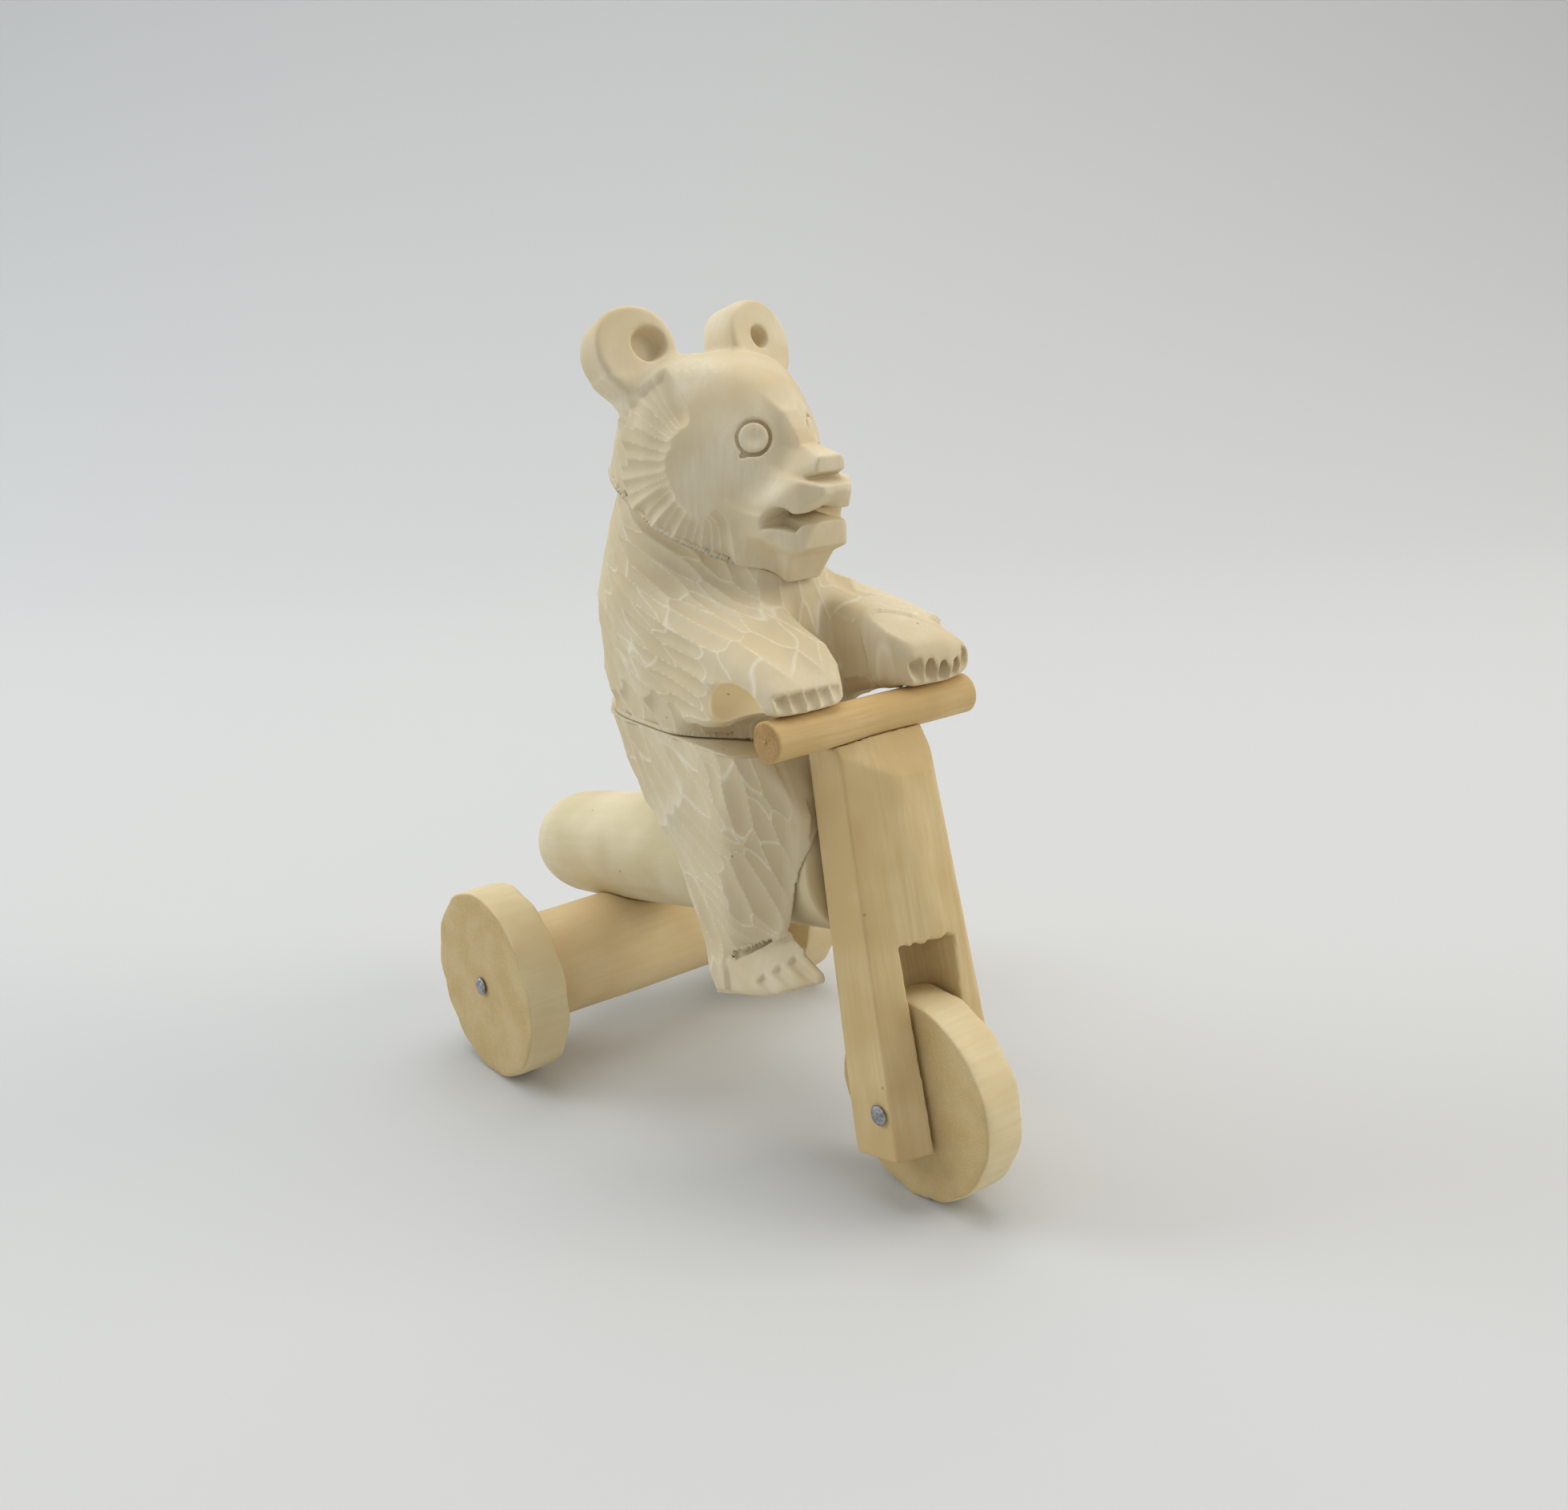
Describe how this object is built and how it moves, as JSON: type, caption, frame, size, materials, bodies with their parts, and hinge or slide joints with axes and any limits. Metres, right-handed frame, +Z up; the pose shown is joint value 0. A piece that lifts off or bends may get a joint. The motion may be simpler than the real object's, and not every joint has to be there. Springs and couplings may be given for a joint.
{
  "type": "carved wooden toy figurine",
  "caption": "Carved wooden bear riding a free-rolling wooden tricycle made of a log, a fork, an axle beam and nailed disc wheels.",
  "frame": {"origin": "on the floor, under the middle of the toy's bounding box", "axes": "+Z up, -Y the way the tricycle travels, -X the bear's right hand; +X is the mirror plane's normal"},
  "size_m": [0.0866, 0.1527, 0.1625],
  "materials": {
    "carved_wood": "unfinished pale linden, knife-carved",
    "planed_wood": "unfinished pale linden, planed",
    "wheel_wood": "unfinished pale linden, end grain on the faces",
    "dowel_wood": "smooth tan dowel",
    "nail_steel": "bright wire nail, slightly dulled"
  },
  "bodies": {
    "frame": {"fork": "planed_wood", "handlebar": "dowel_wood", "frame_log": "carved_wood", "rear_axle_beam": "planed_wood", "front_axle_nail": "nail_steel", "rear_axle_nail_right": "nail_steel", "rear_axle_nail_left": "nail_steel", "beam_nail": "nail_steel", "bear_lower_body": "carved_wood", "bear_torso": "carved_wood", "bear_head": "carved_wood", "fork_dowel": "dowel_wood", "waist_dowel": "dowel_wood", "neck_dowel": "dowel_wood"},
    "front_wheel": {"front_wheel": "wheel_wood"},
    "rear_wheel_right": {"rear_wheel_right": "wheel_wood"},
    "rear_wheel_left": {"rear_wheel_left": "wheel_wood"}
  },
  "joints": [
    {"name": "front_wheel_spin", "type": "hinge", "parent": "frame", "child": "front_wheel", "pos_m": [0, -0.05635, 0.01996], "axis": [1, 0, 0], "continuous": true},
    {"name": "rear_wheel_right_spin", "type": "hinge", "parent": "frame", "child": "rear_wheel_right", "pos_m": [-0.0373, 0.04015, 0.02096], "axis": [1, 0, 0], "continuous": true},
    {"name": "rear_wheel_left_spin", "type": "hinge", "parent": "frame", "child": "rear_wheel_left", "pos_m": [0.0373, 0.04015, 0.02096], "axis": [1, 0, 0], "continuous": true}
  ]
}
